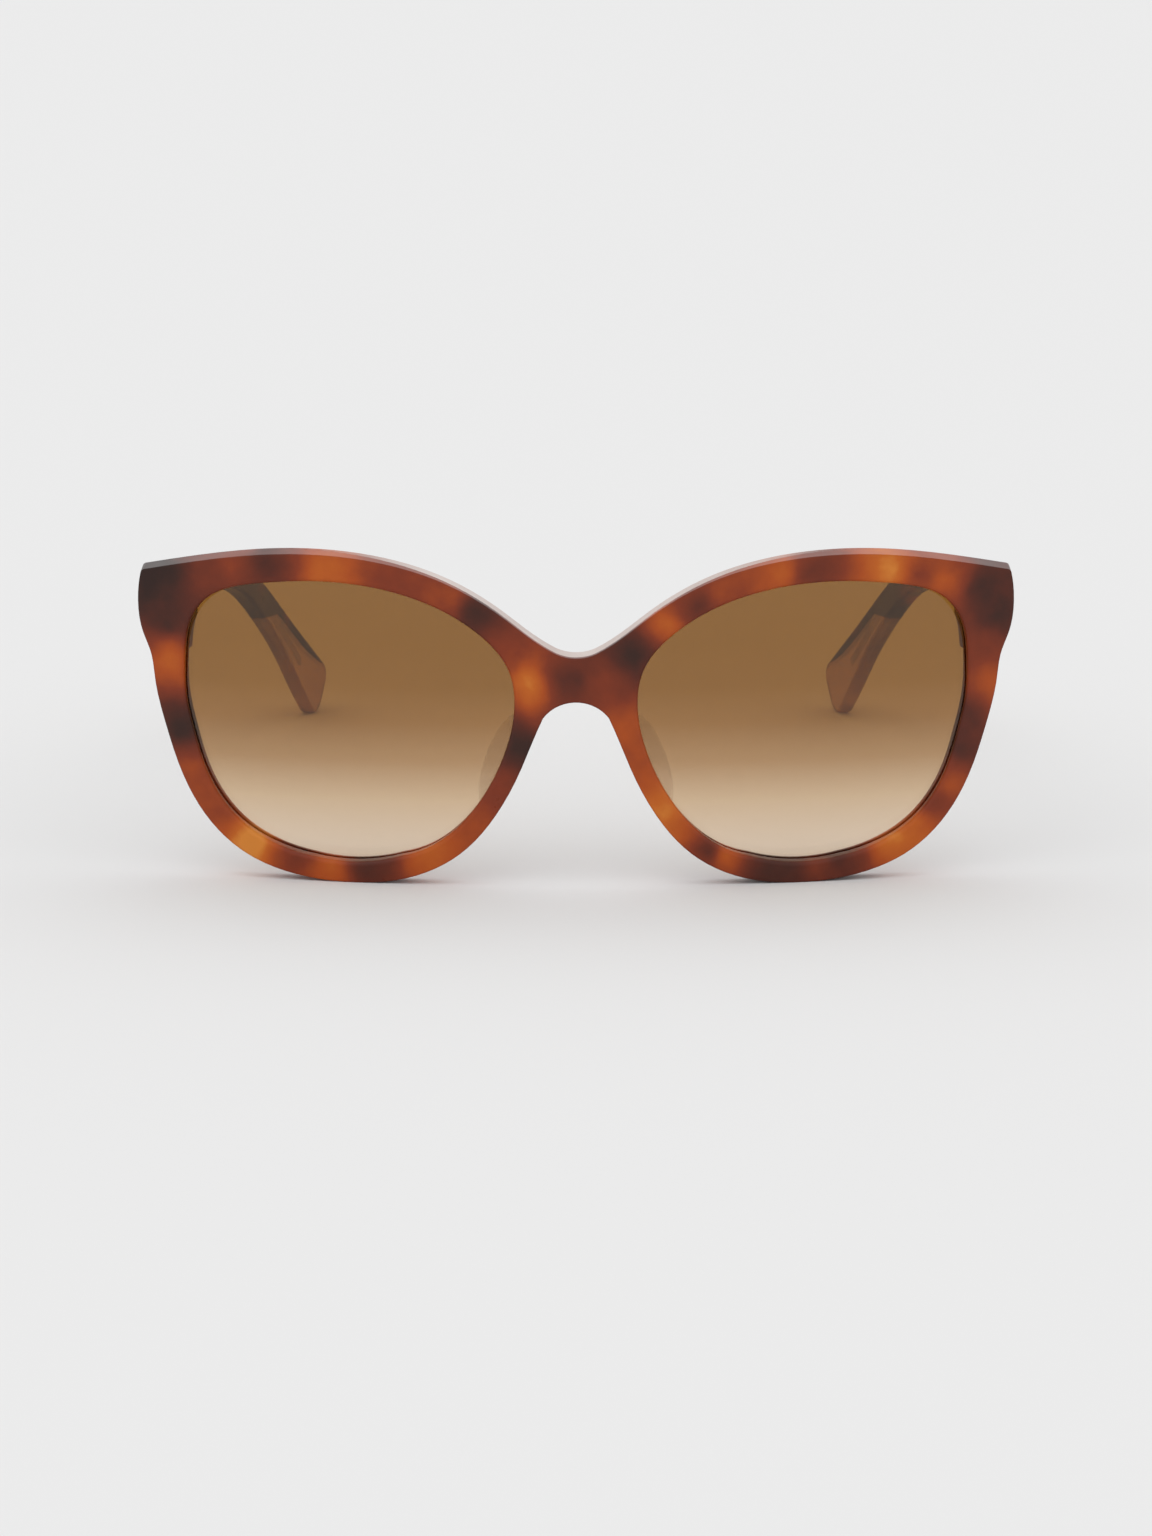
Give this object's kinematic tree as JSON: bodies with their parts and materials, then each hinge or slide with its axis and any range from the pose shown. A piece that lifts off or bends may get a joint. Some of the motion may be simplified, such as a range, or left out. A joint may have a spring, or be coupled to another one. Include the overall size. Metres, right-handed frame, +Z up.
{
  "type": "sunglasses",
  "caption": "Cat eye sunglasses with a tortoise acetate front, brown gradient lenses, bonded nose pads and temples that fold on barrel hinges.",
  "frame": {"origin": "on the table, under the middle of the standing object's bounding box", "axes": "+Z up, the front faces -Y, +X is the wearer's left; the temples are open and point towards +Y"},
  "size_m": [0.1422, 0.151, 0.0549],
  "materials": {
    "tortoise_acetate": "polished tortoise acetate",
    "clear_acetate": "polished clear champagne acetate",
    "champagne_acetate": "polished translucent champagne acetate",
    "gradient_lens": "polished brown gradient tint",
    "hinge_metal": "satin nickel silver",
    "screw_metal": "turned steel",
    "wire_metal": "drawn wire"
  },
  "bodies": {
    "front": {"front_rim": "tortoise_acetate", "back_lamina": "clear_acetate", "lens_left": "gradient_lens", "lens_right": "gradient_lens", "nose_pad_left": "champagne_acetate", "nose_pad_right": "champagne_acetate", "front_hinge_leaf_left": "hinge_metal", "front_hinge_leaf_right": "hinge_metal", "hinge_screw_left": "screw_metal", "hinge_screw_right": "screw_metal"},
    "left_temple": {"temple_left": "tortoise_acetate", "temple_tip_left": "champagne_acetate", "core_wire_left": "wire_metal", "temple_hinge_leaf_left": "hinge_metal"},
    "right_temple": {"temple_right": "tortoise_acetate", "temple_tip_right": "champagne_acetate", "core_wire_right": "wire_metal", "temple_hinge_leaf_right": "hinge_metal"}
  },
  "joints": [
    {"name": "left_hinge", "type": "hinge", "parent": "front", "child": "left_temple", "pos_m": [0.0652, -0.05795, 0.0436], "axis": [0, 0, 1], "range_deg": [0, 83.5]},
    {"name": "right_hinge", "type": "hinge", "parent": "front", "child": "right_temple", "pos_m": [-0.0652, -0.05795, 0.0436], "axis": [0, 0, -1], "range_deg": [0, 78]}
  ]
}
